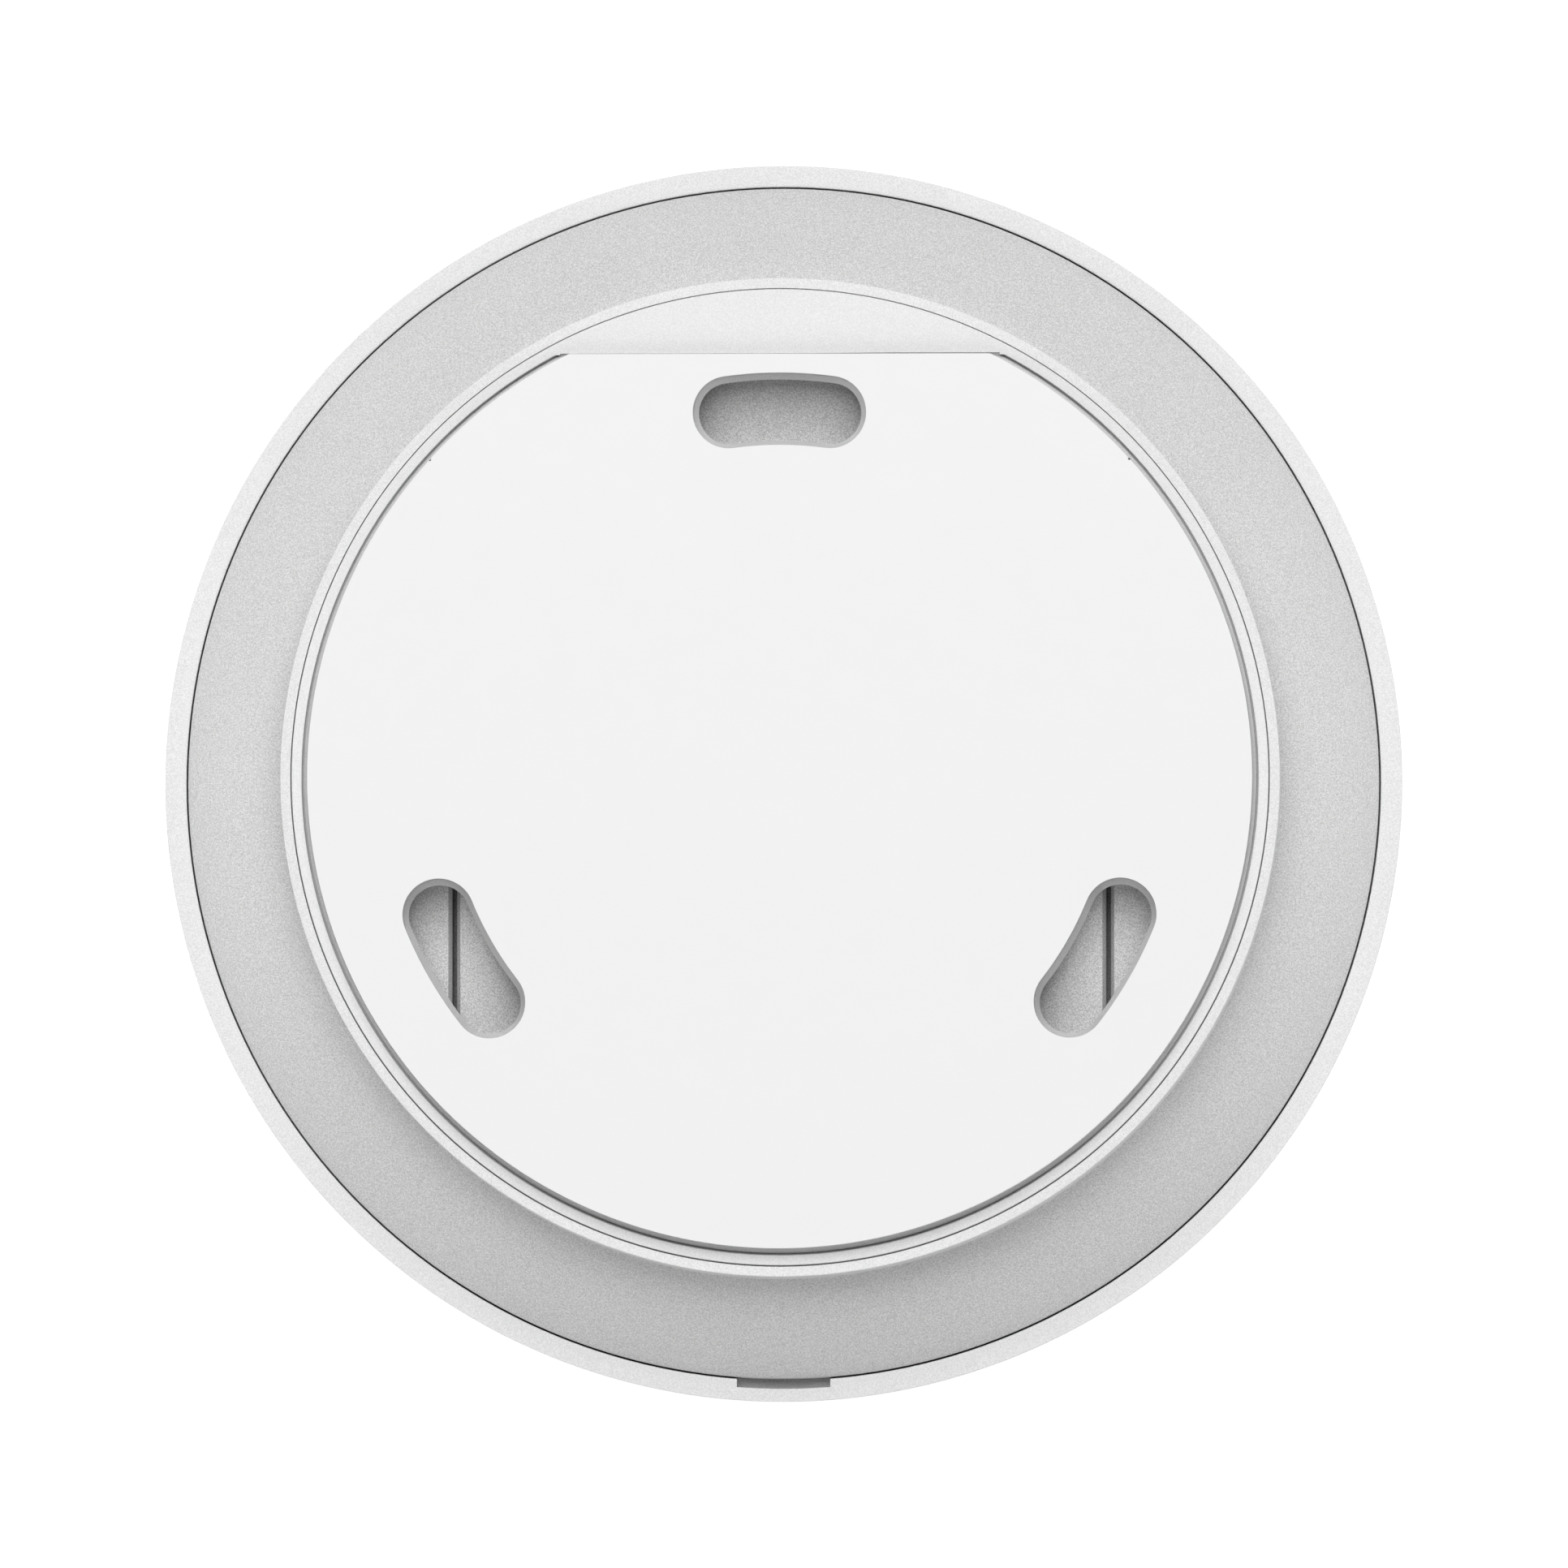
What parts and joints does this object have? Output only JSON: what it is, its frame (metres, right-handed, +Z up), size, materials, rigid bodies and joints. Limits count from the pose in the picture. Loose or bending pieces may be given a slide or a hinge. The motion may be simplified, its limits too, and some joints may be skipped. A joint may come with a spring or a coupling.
{
  "type": "smoke detector",
  "caption": "Round ceiling smoke detector that twists on to a slotted mounting plate, with a push-to-test button, a sliding battery door and side vents.",
  "frame": {"origin": "middle of the mounting plate's ceiling face", "axes": "+Z up into the ceiling, along the twist axis; +Y towards the plate's flat chord; the front face points to -Z"},
  "size_m": [0.12, 0.12, 0.039],
  "materials": {
    "white_plastic": "fine-grained moulded ABS, satin",
    "plate_plastic": "smooth moulded ABS, satin",
    "black_plastic": "matt black moulding",
    "dark_plastic": "dark component case",
    "frosted_plastic": "frosted light guide",
    "circuit_board": "green solder mask",
    "spring_steel": "nickel-plated",
    "screen_steel": "woven steel screen",
    "brass_disc": "bare brass with a ceramic middle",
    "cell_sleeve": null
  },
  "bodies": {
    "plate": {"mounting_plate": "plate_plastic"},
    "detector": {"back_cover": "white_plastic", "front_cover": "white_plastic", "light_ring": "frosted_plastic", "main_board": "circuit_board", "tact_switch": "dark_plastic", "button_spring": "spring_steel", "chamber_base": "black_plastic", "chamber_cap": "black_plastic", "insect_screen": "screen_steel", "infrared_emitter": "dark_plastic", "photodiode": "black_plastic", "sounder_housing": "black_plastic", "piezo_disc": "brass_disc", "microcontroller": "black_plastic", "radio_module": "spring_steel", "power_inductor": "dark_plastic", "reservoir_capacitor": "dark_plastic", "thermistor": "black_plastic", "battery_connector": "plate_plastic", "antenna_strip": "spring_steel", "battery_1": "cell_sleeve", "battery_contact_1": "spring_steel", "battery_spring_1": "spring_steel", "ring_led_1": "frosted_plastic", "cover_screw_1": "spring_steel", "board_screw_1": "spring_steel", "battery_2": "cell_sleeve", "battery_contact_2": "spring_steel", "battery_spring_2": "spring_steel", "ring_led_2": "frosted_plastic", "cover_screw_2": "spring_steel", "board_screw_2": "spring_steel", "battery_3": "cell_sleeve", "battery_contact_3": "spring_steel", "battery_spring_3": "spring_steel", "ring_led_3": "frosted_plastic", "cover_screw_3": "spring_steel", "board_screw_3": "spring_steel"},
    "door": {"battery_door": "white_plastic"},
    "button": {"test_button": "white_plastic", "switch_plunger": "black_plastic"}
  },
  "joints": [
    {"name": "bracket_twist", "type": "hinge", "parent": "plate", "child": "detector", "pos_m": [0, 0, 0], "axis": [0, 0, 1], "range_deg": [-20, 0]},
    {"name": "door_slide", "type": "slide", "parent": "detector", "child": "door", "axis": [0, -1, 0], "range_m": [0, 0.006]},
    {"name": "button_press", "type": "slide", "parent": "detector", "child": "button", "axis": [0, 0, 1], "range_m": [0, 0.0009], "stiffness_N_per_m": 800, "springref_m": -0.001, "deforming": ["button_spring"]}
  ]
}
